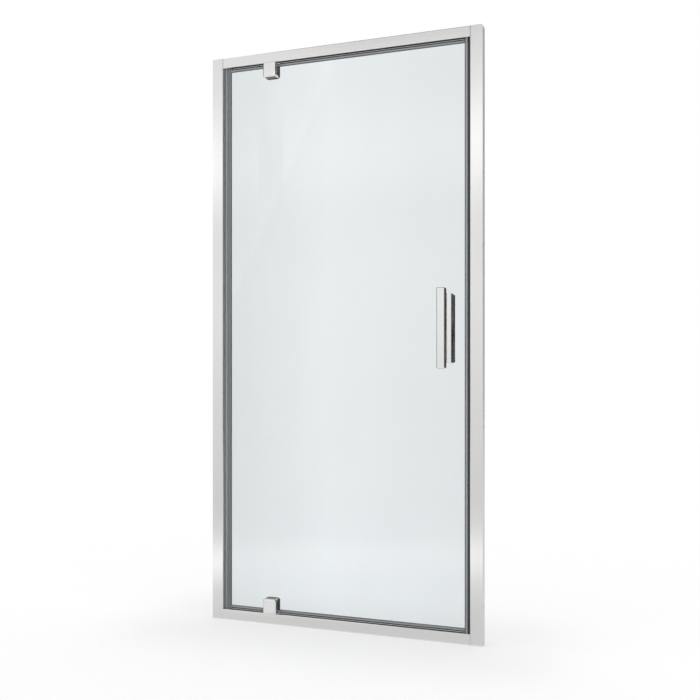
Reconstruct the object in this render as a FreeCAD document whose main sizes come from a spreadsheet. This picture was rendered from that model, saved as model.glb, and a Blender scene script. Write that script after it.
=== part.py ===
import FreeCAD, Part

import os
import re

import Sketcher

# Pivot shower door for a recess, in millimetres, closed.
# X runs across the door to the right, Y from the room into the shower and Z up. The origin is the
# middle of the bottom rail's underside, in the plane of the glass.

SIZES = {
    # frame
    "frame_width": 900,
    "frame_height": 1850,
    "frame_depth": 34,
    "post_face": 38,
    "top_rail_face": 32.5,
    "bottom_rail_face": 35,
    "profile_wall": 1.6,
    "edge_radius": 2,
    "post_corner_radius": 4,
    # screw ports and the web inside the rails, the web's depth measured from the rail's leaf side
    "rail_web_depth": 14,
    "port_block": 8,
    # groove in the posts that holds the strike stop, its place measured from the glass plane
    "strike_face": 4.5,
    "groove_width": 1.8,
    "groove_depth": 2.4,
    "groove_wall": 1,
    # wall channels
    "channel_wall": 1.5,
    "channel_reach": 28,
    "channel_gap": 0.25,
    "wall_hole_diameter": 5.5,
    "wall_hole_end": 115,
    # post caps
    "cap_thickness": 6,
    "cap_gap": 0.2,
    # frame screws and their covers
    "screw_diameter": 3.8,
    "screw_head_diameter": 6.5,
    "screw_head_height": 2.4,
    "screw_fit": 0.05,
    "screw_pass": 0.3,
    "corner_screw_length": 25,
    "channel_screw_length": 9.5,
    "channel_screw_end": 150,
    "cover_diameter": 12,
    "cover_height": 3.6,
    "cover_wall": 0.9,
    # strike stop, magnet strips and the ends of every upright strip
    "stop_reach": 8.4,
    "strip_end_gap": 0.5,
    "tongue_gap": 0.1,
    "magnet_width": 5,
    "magnet_thickness": 3,
    "magnet_gap": 0.1,
    "chamber_wall": 0.6,
    # glass, its edges measured from the frame's faces round the opening
    "pivot_offset": 210,
    "glass_thickness": 6,
    "glass_arris": 0.6,
    "hinge_edge_gap": 12.5,
    "strike_edge_gap": 10,
    "rail_edge_gap": 5.5,
    "notch_gap": 1.5,
    "notch_radius": 3,
    # edge seals, the grip being how far the legs reach over the glass
    "seal_wall": 1.2,
    "hinge_seal_grip": 10.5,
    "strike_seal_grip": 8.5,
    "rail_seal_grip": 5.8,
    "bulb_diameter": 8.6,
    "bulb_wall": 1,
    "bulb_neck": 2,
    "bulb_clearance": 0.4,
    "strike_clearance": 2,
    "lip_thickness": 1,
    "lip_clearance": 0.5,
    # hinge clamps
    "hinge_width": 46,
    "hinge_height": 46,
    "hinge_block_depth": 23,
    "hinge_plate_depth": 5,
    "hinge_corner_radius": 6,
    "hinge_face_radius": 4,
    "hinge_rail_radius": 1.2,
    "gasket_thickness": 1,
    "rail_gap": 2.5,
    "boss_width": 18,
    "boss_height": 17,
    "boss_gap": 0.2,
    "clamp_spread": 24,
    "clamp_drop": 33,
    "clamp_screw_diameter": 5,
    "clamp_head_diameter": 10,
    "clamp_pass": 0.2,
    "clamp_bite": 13,
    "clamp_tip_gap": 1,
    "clamp_hole_diameter": 12,
    "sleeve_gap": 0.1,
    # pivot pins and bushes
    "pin_diameter": 8,
    "pin_seat": 15,
    "pin_chamfer": 0.8,
    "pin_fit": 0.02,
    "running_clearance": 0.05,
    "bush_diameter": 14,
    "bush_fit": 0.05,
    "bush_floor": 1.5,
    "flange_diameter": 20,
    "flange_thickness": 1,
    "disc_thickness": 1.5,
    "disc_gap": 0.1,
    # handle
    "handle_height": 948,
    "handle_inset": 53.5,
    "grip_width": 26,
    "grip_depth": 23,
    "grip_length": 243,
    "grip_radius": 3,
    "base_width": 29,
    "base_depth": 25,
    "base_length": 209,
    "base_overlap": 14,
    "base_radius": 1.5,
    "pull_depth": 22,
    "bolt_spacing": 150,
    "bolt_diameter": 6,
    "bolt_head_diameter": 9.5,
    "bolt_head_height": 5.5,
    "bolt_bite": 13,
    "bolt_tip_gap": 1,
    "bolt_pass": 0.2,
    "bolt_hole_diameter": 10,
    "bolt_cap_thickness": 2,
}

WALL_HOLES = 4
CHANNEL_SCREWS = 3
TOUCH = 0.001

# Places and sizes that several pieces share, worked out from the sheet.
LEAF_SIDE = "(frame_width / 2 - post_face)"
LINTEL = "(frame_height - top_rail_face)"
SILL = "bottom_rail_face"
HALF_DEPTH = "(frame_depth / 2)"
INSIDE = "(frame_depth / 2 - profile_wall)"
PORT_Y = "(frame_depth / 2 - profile_wall - port_block / 2)"
PORT_DEPTH = "(rail_web_depth + profile_wall / 2)"
CHANNEL_OUTSIDE = "(frame_depth / 2 - profile_wall - channel_gap)"
CHANNEL_SCREW_X = "(post_face - channel_reach / 2)"
STRIP_FOOT = "(bottom_rail_face + strip_end_gap)"
STRIP_LENGTH = "(frame_height - top_rail_face - bottom_rail_face - 2 * strip_end_gap)"
MAGNET_CHAMBER_WIDTH = "(magnet_width + 2 * magnet_gap)"
MAGNET_CHAMBER_DEPTH = "(magnet_thickness + 2 * magnet_gap)"

HALF_GLASS = "(glass_thickness / 2)"
CLAMP_FACE = "(glass_thickness / 2 + gasket_thickness)"
GLASS_LEFT = "(hinge_edge_gap - frame_width / 2 + post_face)"
GLASS_RIGHT = "(frame_width / 2 - post_face - strike_edge_gap)"
GLASS_BOTTOM = "(bottom_rail_face + rail_edge_gap)"
GLASS_TOP = "(frame_height - top_rail_face - rail_edge_gap)"
SEAL_OUTSIDE = "(glass_thickness / 2 + seal_wall)"
STRIKE_HEAD = "(strike_edge_gap - strike_clearance)"

PIVOT = "(pivot_offset - frame_width / 2)"
NOTCH_HALF = "(boss_width / 2 + notch_gap)"
NOTCH_DEPTH = "(rail_gap + boss_height + notch_gap)"
CLAMP_DEPTH = "(rail_gap + clamp_drop)"
BUSH_LENGTH = "rail_web_depth"
PIN_REACH = f"({BUSH_LENGTH} - bush_floor - disc_thickness - disc_gap)"

HANDLE_X = f"({LEAF_SIDE} - handle_inset - base_width + base_overlap / 2)"
GRIP_BACK = f"({CLAMP_FACE} + base_depth)"
COUNTERBORE = "(bolt_head_height + bolt_cap_thickness)"

doc = FreeCAD.newDocument("pivot_shower_door")
sheet = doc.addObject("Spreadsheet::Sheet", "Sizes")
for row, (alias, size) in enumerate(SIZES.items(), start=1):
    sheet.set(f"A{row}", alias)
    sheet.set(f"B{row}", str(size))
    sheet.setAlias(f"B{row}", alias)
doc.recompute()

nodes = []


# ---------------------------------------------------------------- drawing helpers

def bound(expression):
    """The expression with each alias written as a cell of the sheet."""
    return re.sub(r"[a-z][a-z_]+", lambda found: "Sizes." + found.group(0), expression)


def value(expression):
    """The expression's present value in millimetres."""
    return float(sheet.evalExpression(bound(expression)))


def signed(sign, expression):
    """The expression, turned to the side that the sign names."""
    return f"{sign} * {expression}"


def new_body(label):
    body = doc.addObject("PartDesign::Body", label)
    body.Label = label
    return body


def node(piece):
    """Keeps a finished piece as one of the door's nodes."""
    nodes.append(piece)
    return piece


def draw(body, plane, outlines=(), circles=(), offset=None):
    """A fully dimensioned sketch on one of the body's own planes.

    An outline is a closed row of corners (across, up), a circle is (across, up, radius), all as
    expressions. The offset moves the sketch along the plane's normal.
    """
    sketch = body.newObject("Sketcher::SketchObject", f"{body.Name}_sketch")
    planes = {feature.Role: feature for feature in body.Origin.OriginFeatures}
    sketch.AttachmentSupport = [(planes[plane], "")]
    sketch.MapMode = "FlatFace"
    if offset:
        sketch.setExpression("AttachmentOffset.Base.z", bound(offset))
    for corners in outlines:
        draw_outline(sketch, corners)
    for across, up, radius in circles:
        centre = FreeCAD.Vector(value(across), value(up), 0)
        normal = FreeCAD.Vector(0, 0, 1)
        circle = sketch.addGeometry(Part.Circle(centre, normal, value(radius)))
        dimension(sketch, "DistanceX", (-1, 1, circle, 3), across)
        dimension(sketch, "DistanceY", (-1, 1, circle, 3), up)
        dimension(sketch, "Radius", (circle,), radius)
    return sketch


def draw_outline(sketch, corners):
    points = [FreeCAD.Vector(value(across), value(up), 0) for across, up in corners]
    first = sketch.GeometryCount
    for start, end in zip(points, points[1:] + points[:1]):
        sketch.addGeometry(Part.LineSegment(start, end))
    for index, (across, up) in enumerate(corners):
        line = first + index
        following = first + (index + 1) % len(corners)
        sketch.addConstraint(Sketcher.Constraint("Coincident", line, 2, following, 1))
        dimension(sketch, "DistanceX", (-1, 1, line, 1), across)
        dimension(sketch, "DistanceY", (-1, 1, line, 1), up)


def dimension(sketch, kind, elements, expression):
    constraint = Sketcher.Constraint(kind, *elements, value(expression))
    index = sketch.addConstraint(constraint)
    sketch.setExpression(f"Constraints[{index}]", bound(expression))


def box(x_low, y_low, x_high, y_high):
    """The four corners of a rectangle."""
    return [(x_low, y_low), (x_high, y_low), (x_high, y_high), (x_low, y_high)]


def pad(body, sketch, length, both_ways=False, against=False):
    feature = body.newObject("PartDesign::Pad", f"{body.Name}_pad")
    feature.Profile = sketch
    feature.Midplane = both_ways
    feature.Reversed = against
    feature.setExpression("Length", bound(length))
    return feature


def pocket(body, sketch, length, along=False, both_ways=False):
    """A cut against the sketch's normal, or along it."""
    feature = body.newObject("PartDesign::Pocket", f"{body.Name}_pocket")
    feature.Profile = sketch
    feature.Midplane = both_ways
    feature.Reversed = along
    feature.setExpression("Length", bound(length))
    return feature


def turn(body, corners):
    """A solid turned about the body's Z axis from half of its section."""
    feature = body.newObject("PartDesign::Revolution", f"{body.Name}_turned")
    sketch = draw(body, "XZ_Plane", [corners])
    feature.Profile = sketch
    feature.ReferenceAxis = (sketch, ["V_Axis"])
    feature.Angle = 360
    return feature


def dress(body, kind, test):
    """A fillet or chamfer on the edges of the body's last feature that pass the test."""
    doc.recompute()
    last = body.Tip
    edges = enumerate(last.Shape.Edges, start=1)
    names = [f"Edge{index}" for index, edge in edges if test(edge)]
    feature = body.newObject(f"PartDesign::{kind}", f"{body.Name}_{kind}")
    feature.Base = (last, names)
    return feature


def round_edges(body, radius, test):
    dress(body, "Fillet", test).setExpression("Radius", bound(radius))


def bevel_edges(body, size, test):
    dress(body, "Chamfer", test).setExpression("Size", bound(size))


def lies(edge, axis, **places):
    """Whether a straight edge runs along the axis through the places given for its middle."""
    if not isinstance(edge.Curve, Part.Line):
        return False
    direction = edge.tangentAt(edge.FirstParameter)
    middle = edge.CenterOfMass
    if abs(abs(getattr(direction, axis)) - 1) > TOUCH:
        return False
    return all(abs(getattr(middle, name) - place) < TOUCH for name, place in places.items())


def on_plane(edge, name, place):
    """Whether every point of the edge has the same place along the named direction."""
    bounds = edge.BoundBox
    low = getattr(bounds, f"{name.upper()}Min")
    high = getattr(bounds, f"{name.upper()}Max")
    return abs(low - place) < TOUCH and abs(high - place) < TOUCH


def place(piece, across="0", into="0", up="0", turned=None):
    """Puts a piece at a bound place, turned about an axis first: (axis, degrees)."""
    if turned:
        axis, degrees = turned
        rotation = FreeCAD.Rotation(FreeCAD.Vector(*axis), degrees)
        piece.Placement = FreeCAD.Placement(FreeCAD.Vector(0, 0, 0), rotation)
    piece.setExpression("Placement.Base.x", bound(across))
    piece.setExpression("Placement.Base.y", bound(into))
    piece.setExpression("Placement.Base.z", bound(up))
    return piece


def group(label, original, places, turned=None):
    """Copies of one piece as separate solids of one node.

    A place is (across, into, up), with an axis and degrees of its own where they differ.
    """
    copies = []
    for index, (across, into, up, *own_turn) in enumerate(places, start=1):
        copy = doc.addObject("App::Link", f"{label}_{index}")
        copy.LinkedObject = original
        copies.append(place(copy, across, into, up, own_turn[0] if own_turn else turned))
    compound = doc.addObject("Part::Compound", label)
    compound.Label = label
    compound.Links = copies
    return node(compound)


X_AXIS = (1, 0, 0)
Y_AXIS = (0, 1, 0)
OPEN_END_RIGHT = (Y_AXIS, 90)
OPEN_END_LEFT = (Y_AXIS, -90)
HEAD_TO_SHOWER = (X_AXIS, -90)
UPSIDE_DOWN = (Y_AXIS, 180)


# ---------------------------------------------------------------- frame

def spaced(count, end):
    """Heights of a row of holes along the posts, the first and last at the end distance."""
    return [f"({end} + {index} * (frame_height - 2 * {end}) / {count - 1})" for index in range(count)]


def round_wall_corner(body, side, top):
    """Rounds the top corners on the wall side, on a post and on its cap alike."""
    wall_side = value(signed(side, "post_face"))
    round_edges(body, "post_corner_radius", lambda edge: lies(edge, "y", x=wall_side, z=top))


def build_post(label, side):
    """A C-section upright, open towards the wall, with the strike stop's groove."""
    body = new_body(label)
    groove_end = "(strike_face + groove_width)"
    section = [
        ("0", f"-{HALF_DEPTH}"),
        (signed(side, "post_face"), f"-{HALF_DEPTH}"),
        (signed(side, "post_face"), f"-{INSIDE}"),
        (signed(side, "profile_wall"), f"-{INSIDE}"),
        (signed(side, "profile_wall"), "strike_face - groove_wall"),
        (signed(side, "(groove_depth + groove_wall)"), "strike_face - groove_wall"),
        (signed(side, "(groove_depth + groove_wall)"), f"{groove_end} + groove_wall"),
        (signed(side, "profile_wall"), f"{groove_end} + groove_wall"),
        (signed(side, "profile_wall"), INSIDE),
        (signed(side, "post_face"), INSIDE),
        (signed(side, "post_face"), HALF_DEPTH),
        ("0", HALF_DEPTH),
        ("0", groove_end),
        (signed(side, "groove_depth"), groove_end),
        (signed(side, "groove_depth"), "strike_face"),
        ("0", "strike_face"),
    ]
    pad(body, draw(body, "XY_Plane", [section]), "frame_height")
    front_and_back = value(HALF_DEPTH)
    round_edges(
        body,
        "edge_radius",
        lambda edge: lies(edge, "z", x=0) and abs(abs(edge.CenterOfMass.y) - front_and_back) < TOUCH,
    )
    round_wall_corner(body, side, value("frame_height"))
    hole = "(screw_diameter / 2 + screw_pass)"
    port_heights = (f"{LINTEL} + {PORT_DEPTH}", f"{SILL} - {PORT_DEPTH}")
    corner_holes = [(y, up, hole) for y in (PORT_Y, f"-{PORT_Y}") for up in port_heights]
    pocket(body, draw(body, "YZ_Plane", circles=corner_holes), "profile_wall", along=side > 0)
    heights = spaced(CHANNEL_SCREWS, "channel_screw_end")
    back_holes = [(signed(side, CHANNEL_SCREW_X), up, hole) for up in heights]
    pocket(body, draw(body, "XZ_Plane", circles=back_holes), HALF_DEPTH)
    return node(place(body, signed(side, LEAF_SIDE)))


def build_wall_channel(label, side):
    """A U-section screwed to the wall, its legs reaching into the post."""
    body = new_body(label)
    leg_end = "(post_face - channel_reach)"
    web = "(post_face - channel_wall)"
    leg_inside = f"({CHANNEL_OUTSIDE} - channel_wall)"
    section = [
        (signed(side, leg_end), CHANNEL_OUTSIDE),
        (signed(side, "post_face"), CHANNEL_OUTSIDE),
        (signed(side, "post_face"), f"-{CHANNEL_OUTSIDE}"),
        (signed(side, leg_end), f"-{CHANNEL_OUTSIDE}"),
        (signed(side, leg_end), f"-{leg_inside}"),
        (signed(side, web), f"-{leg_inside}"),
        (signed(side, web), leg_inside),
        (signed(side, leg_end), leg_inside),
    ]
    pad(body, draw(body, "XY_Plane", [section]), "frame_height - cap_thickness")
    wall_holes = [("0", up, "wall_hole_diameter / 2") for up in spaced(WALL_HOLES, "wall_hole_end")]
    pocket(body, draw(body, "YZ_Plane", circles=wall_holes), "post_face", along=side > 0)
    heights = spaced(CHANNEL_SCREWS, "channel_screw_end")
    pilot = "(screw_diameter / 2 + screw_fit)"
    pilots = [(signed(side, CHANNEL_SCREW_X), up, pilot) for up in heights]
    pocket(body, draw(body, "XZ_Plane", circles=pilots), HALF_DEPTH)
    return node(place(body, signed(side, LEAF_SIDE)))


def build_post_cap(label, side):
    """A plug that closes the post's open top, standing on the wall channel."""
    body = new_body(label)
    inner = signed(side, "(groove_depth + groove_wall + cap_gap)")
    outline = box(inner, f"cap_gap - {INSIDE}", signed(side, "post_face"), f"{INSIDE} - cap_gap")
    pad(body, draw(body, "XY_Plane", [outline]), "cap_thickness")
    round_wall_corner(body, side, value("cap_thickness"))
    return node(place(body, signed(side, LEAF_SIDE), up="frame_height - cap_thickness"))


def build_rail(label, face, inward, height):
    """A two-chamber extrusion with two screw ports on its web, drilled for the pivot bush.

    The section is drawn from the rail's leaf side, inward being the way into the rail.
    """
    body = new_body(label)
    port_edge = "(frame_depth / 2 - profile_wall - port_block)"
    block_near = signed(inward, f"({PORT_DEPTH} - port_block / 2)")
    block_far = signed(inward, f"({PORT_DEPTH} + port_block / 2)")
    web_near = signed(inward, "rail_web_depth")
    web_far = signed(inward, "(rail_web_depth + profile_wall)")
    wall_near = signed(inward, "profile_wall")
    wall_far = signed(inward, f"({face} - profile_wall)")
    outside = box(f"-{HALF_DEPTH}", "0", HALF_DEPTH, signed(inward, face))
    leaf_chamber = [
        (f"-{INSIDE}", wall_near),
        (INSIDE, wall_near),
        (INSIDE, block_near),
        (port_edge, block_near),
        (port_edge, web_near),
        (f"-{port_edge}", web_near),
        (f"-{port_edge}", block_near),
        (f"-{INSIDE}", block_near),
    ]
    far_chamber = [
        (f"-{port_edge}", web_far),
        (port_edge, web_far),
        (port_edge, block_far),
        (INSIDE, block_far),
        (INSIDE, wall_far),
        (f"-{INSIDE}", wall_far),
        (f"-{INSIDE}", block_far),
        (f"-{port_edge}", block_far),
    ]
    port = "(screw_diameter / 2 + screw_fit)"
    ports = [(y, signed(inward, PORT_DEPTH), port) for y in (PORT_Y, f"-{PORT_Y}")]
    section = draw(body, "YZ_Plane", [outside, leaf_chamber, far_chamber], ports)
    pad(body, section, f"2 * {LEAF_SIDE}", both_ways=True)
    front_and_back = value(HALF_DEPTH)
    round_edges(
        body,
        "edge_radius",
        lambda edge: lies(edge, "x") and abs(abs(edge.CenterOfMass.y) - front_and_back) < TOUCH,
    )
    bush_hole = [(PIVOT, "0", "(bush_diameter / 2 + bush_fit)")]
    pocket(body, draw(body, "XY_Plane", circles=bush_hole), "profile_wall", along=inward > 0)
    return node(place(body, up=height))


def screw_section(head_radius, head_height, shank_radius, length):
    """Half of a cheese-head screw's section, its head's underside at zero."""
    return [
        ("0", head_height),
        (head_radius, head_height),
        (head_radius, "0"),
        (shank_radius, "0"),
        (shank_radius, f"-{length}"),
        ("0", f"-{length}"),
    ]


def build_frame_screws():
    shank = "(screw_diameter / 2)"
    head = "(screw_head_diameter / 2)"
    corner_screw = new_body("corner_screw")
    turn(corner_screw, screw_section(head, "screw_head_height", shank, "corner_screw_length"))
    places = []
    for side, heading in ((1, OPEN_END_RIGHT), (-1, OPEN_END_LEFT)):
        across = signed(side, f"({LEAF_SIDE} + profile_wall)")
        for into in (PORT_Y, f"-{PORT_Y}"):
            places.append((across, into, f"{LINTEL} + {PORT_DEPTH}", heading))
            places.append((across, into, f"{SILL} - {PORT_DEPTH}", heading))
    group("corner_screws", corner_screw, places)

    channel_screw = new_body("channel_screw")
    turn(channel_screw, screw_section(head, "screw_head_height", shank, "channel_screw_length"))
    cover = new_body("screw_cover")
    turn(cover, [
        ("0", "cover_height"),
        ("cover_diameter / 2 - cover_wall", "cover_height"),
        ("cover_diameter / 2", "cover_height - cover_wall"),
        ("cover_diameter / 2", "0"),
        ("cover_diameter / 2 - cover_wall", "0"),
        ("cover_diameter / 2 - cover_wall", "cover_height - cover_wall"),
        ("0", "cover_height - cover_wall"),
    ])
    places = []
    for side in (-1, 1):
        across = signed(side, f"({LEAF_SIDE} + {CHANNEL_SCREW_X})")
        for up in spaced(CHANNEL_SCREWS, "channel_screw_end"):
            places.append((across, HALF_DEPTH, up))
    group("channel_screws", channel_screw, places, HEAD_TO_SHOWER)
    group("channel_screw_covers", cover, places, HEAD_TO_SHOWER)


def build_pivot_bush(label, height, turned=None):
    """A closed flanged bush, its barrel running into the rail up to the web."""
    body = new_body(label)
    bore = "(pin_diameter / 2 + running_clearance)"
    floor = f"{BUSH_LENGTH} - bush_floor"
    turn(body, [
        (bore, "-flange_thickness"),
        ("flange_diameter / 2", "-flange_thickness"),
        ("flange_diameter / 2", "0"),
        ("bush_diameter / 2", "0"),
        ("bush_diameter / 2", BUSH_LENGTH),
        ("0", BUSH_LENGTH),
        ("0", floor),
        (bore, floor),
    ])
    return node(place(body, PIVOT, up=height, turned=turned))


def build_thrust_disc():
    """A steel disc on the bottom bush's floor, which the lower pin stands over."""
    body = new_body("pivot_thrust_disc")
    disc = [("0", "0", "pin_diameter / 2 - disc_gap")]
    pad(body, draw(body, "XY_Plane", circles=disc), "disc_thickness")
    return node(place(body, PIVOT, up=f"{SILL} - {BUSH_LENGTH} + bush_floor"))


def build_strike_stop():
    """A chambered strip whose tongue sits in the right post's groove."""
    body = new_body("strike_stop")
    back = f"(strike_face + 2 * chamber_wall + {MAGNET_CHAMBER_DEPTH})"
    tongue_end = "(strike_face + groove_width - tongue_gap)"
    outline = [
        ("0", "strike_face"),
        ("0", "strike_face + tongue_gap"),
        ("groove_depth - tongue_gap", "strike_face + tongue_gap"),
        ("groove_depth - tongue_gap", tongue_end),
        ("0", tongue_end),
        ("0", back),
        ("-stop_reach", back),
        ("-stop_reach", "strike_face"),
    ]
    chamber = box(
        "chamber_wall - stop_reach",
        "strike_face + chamber_wall",
        f"chamber_wall - stop_reach + {MAGNET_CHAMBER_WIDTH}",
        f"{back} - chamber_wall",
    )
    pad(body, draw(body, "XY_Plane", [outline, chamber]), STRIP_LENGTH)
    return node(place(body, LEAF_SIDE, up=STRIP_FOOT))


def build_magnet(label, across, into):
    body = new_body(label)
    outline = box("0", "0", "magnet_width", "magnet_thickness")
    pad(body, draw(body, "XY_Plane", [outline]), STRIP_LENGTH)
    return node(place(body, across, into, STRIP_FOOT))


def build_frame():
    for label, side in (("left", -1), ("right", 1)):
        build_post(f"{label}_post", side)
        build_wall_channel(f"{label}_wall_channel", side)
        build_post_cap(f"{label}_post_cap", side)
    build_rail("top_rail", "top_rail_face", 1, LINTEL)
    build_rail("bottom_rail", "bottom_rail_face", -1, SILL)
    build_frame_screws()
    build_pivot_bush("top_pivot_bush", LINTEL)
    build_pivot_bush("bottom_pivot_bush", SILL, UPSIDE_DOWN)
    build_thrust_disc()
    build_strike_stop()
    build_magnet(
        "frame_magnet_strip",
        f"{LEAF_SIDE} - stop_reach + chamber_wall + magnet_gap",
        "strike_face + chamber_wall + magnet_gap",
    )


# ---------------------------------------------------------------- glass and its seals

def build_glass():
    """One pane, notched for the hinge bosses and drilled for the clamps and the handle."""
    body = new_body("glass_panel")
    notch_left = f"{PIVOT} - {NOTCH_HALF}"
    notch_right = f"{PIVOT} + {NOTCH_HALF}"
    notch_top = f"{LINTEL} - {NOTCH_DEPTH}"
    notch_bottom = f"{SILL} + {NOTCH_DEPTH}"
    outline = [
        (GLASS_LEFT, GLASS_BOTTOM),
        (notch_left, GLASS_BOTTOM),
        (notch_left, notch_bottom),
        (notch_right, notch_bottom),
        (notch_right, GLASS_BOTTOM),
        (GLASS_RIGHT, GLASS_BOTTOM),
        (GLASS_RIGHT, GLASS_TOP),
        (notch_right, GLASS_TOP),
        (notch_right, notch_top),
        (notch_left, notch_top),
        (notch_left, GLASS_TOP),
        (GLASS_LEFT, GLASS_TOP),
    ]
    clamp_holes = [
        (across, up, "clamp_hole_diameter / 2")
        for across in (f"{PIVOT} - clamp_spread / 2", f"{PIVOT} + clamp_spread / 2")
        for up in (f"{LINTEL} - {CLAMP_DEPTH}", f"{SILL} + {CLAMP_DEPTH}")
    ]
    bolt_holes = [
        (HANDLE_X, f"handle_height {sign} bolt_spacing / 2", "bolt_hole_diameter / 2")
        for sign in "+-"
    ]
    pane = draw(body, "XZ_Plane", [outline], clamp_holes + bolt_holes)
    pad(body, pane, "glass_thickness", both_ways=True)
    notch_ends = (value(notch_top), value(notch_bottom))
    round_edges(
        body,
        "notch_radius",
        lambda edge: any(lies(edge, "y", z=end) for end in notch_ends),
    )
    faces = value(HALF_GLASS)
    bevel_edges(
        body,
        "glass_arris",
        lambda edge: (on_plane(edge, "y", faces) or on_plane(edge, "y", -faces))
        and not edge.isClosed(),
    )
    return node(body)


def clip_section(out, grip):
    """The U that clips over a glass edge, out being the way off the glass."""
    return [
        (f"-{out} * {grip}", HALF_GLASS),
        (f"-{out} * {grip}", SEAL_OUTSIDE),
        (signed(out, "seal_wall"), SEAL_OUTSIDE),
        (signed(out, "seal_wall"), f"-{SEAL_OUTSIDE}"),
        (f"-{out} * {grip}", f"-{SEAL_OUTSIDE}"),
        (f"-{out} * {grip}", f"-{HALF_GLASS}"),
        ("0", f"-{HALF_GLASS}"),
        ("0", HALF_GLASS),
    ]


def build_hinge_side_seal():
    """A clip with a hollow bulb on a neck, which reaches nearly to the left post."""
    body = new_body("hinge_side_seal")
    bulb_x = "(bulb_clearance + bulb_diameter / 2 - hinge_edge_gap)"
    pad(body, draw(body, "XY_Plane", [clip_section(-1, "hinge_seal_grip")]), STRIP_LENGTH)
    neck = box(bulb_x, "-bulb_neck / 2", "0", "bulb_neck / 2")
    pad(body, draw(body, "XY_Plane", [neck]), STRIP_LENGTH)
    bulb = [(bulb_x, "0", "bulb_diameter / 2")]
    pad(body, draw(body, "XY_Plane", circles=bulb), STRIP_LENGTH)
    bore = [(bulb_x, "0", "bulb_diameter / 2 - bulb_wall")]
    pocket(body, draw(body, "XY_Plane", circles=bore), STRIP_LENGTH, along=True)
    return node(place(body, GLASS_LEFT, up=STRIP_FOOT))


def build_strike_side_seal():
    """A clip with two chambers beyond the glass edge, the rear one for the magnet."""
    body = new_body("strike_side_seal")
    outline = [
        ("-strike_seal_grip", HALF_GLASS),
        ("-strike_seal_grip", SEAL_OUTSIDE),
        (STRIKE_HEAD, SEAL_OUTSIDE),
        (STRIKE_HEAD, f"-{SEAL_OUTSIDE}"),
        ("-strike_seal_grip", f"-{SEAL_OUTSIDE}"),
        ("-strike_seal_grip", f"-{HALF_GLASS}"),
        ("0", f"-{HALF_GLASS}"),
        ("0", HALF_GLASS),
    ]
    near = f"{STRIKE_HEAD} - chamber_wall - {MAGNET_CHAMBER_WIDTH}"
    far = f"{STRIKE_HEAD} - chamber_wall"
    rear_high = f"{SEAL_OUTSIDE} - chamber_wall"
    rear_low = f"{SEAL_OUTSIDE} - chamber_wall - {MAGNET_CHAMBER_DEPTH}"
    magnet_chamber = box(near, rear_low, far, rear_high)
    front_chamber = box(near, f"chamber_wall - {SEAL_OUTSIDE}", far, f"{rear_low} - chamber_wall")
    section = draw(body, "XY_Plane", [outline, magnet_chamber, front_chamber])
    pad(body, section, STRIP_LENGTH)
    return node(place(body, GLASS_RIGHT, up=STRIP_FOOT))


def build_rail_seal(label, out, start, end, height):
    """A clip on the glass's top or bottom edge with a lip that reaches nearly to the rail."""
    body = new_body(label)
    grip_end = f"-{out} * rail_seal_grip"
    web = signed(out, "seal_wall")
    lip_end = signed(out, "(rail_edge_gap - lip_clearance)")
    section = [
        (HALF_GLASS, grip_end),
        (SEAL_OUTSIDE, grip_end),
        (SEAL_OUTSIDE, web),
        ("lip_thickness / 2", web),
        ("lip_thickness / 2", lip_end),
        ("-lip_thickness / 2", lip_end),
        ("-lip_thickness / 2", web),
        (f"-{SEAL_OUTSIDE}", web),
        (f"-{SEAL_OUTSIDE}", grip_end),
        (f"-{HALF_GLASS}", grip_end),
        (f"-{HALF_GLASS}", "0"),
        (HALF_GLASS, "0"),
    ]
    pad(body, draw(body, "YZ_Plane", [section]), f"{end} - ({start})")
    return node(place(body, start, up=height))


def build_seals():
    build_hinge_side_seal()
    build_strike_side_seal()
    build_magnet(
        "door_magnet_strip",
        f"{GLASS_RIGHT} + {STRIKE_HEAD} - chamber_wall - magnet_gap - magnet_width",
        f"{SEAL_OUTSIDE} - chamber_wall - magnet_gap - magnet_thickness",
    )
    left_start = f"({GLASS_LEFT} + hinge_seal_grip)"
    left_end = f"({PIVOT} - hinge_width / 2)"
    right_start = f"({PIVOT} + hinge_width / 2)"
    right_end = f"({GLASS_RIGHT} - strike_seal_grip)"
    for label, out, height in (("top", 1, GLASS_TOP), ("bottom", -1, GLASS_BOTTOM)):
        build_rail_seal(f"{label}_seal_short", out, left_start, left_end, height)
        build_rail_seal(f"{label}_seal_long", out, right_start, right_end, height)


# ---------------------------------------------------------------- pivot hinges

def clamp_holes_at(radius):
    """The two clamp screws' circles on a hinge piece, measured from its rail side."""
    return [(f"{sign}clamp_spread / 2", "-clamp_drop", radius) for sign in ("-", "")]


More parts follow.
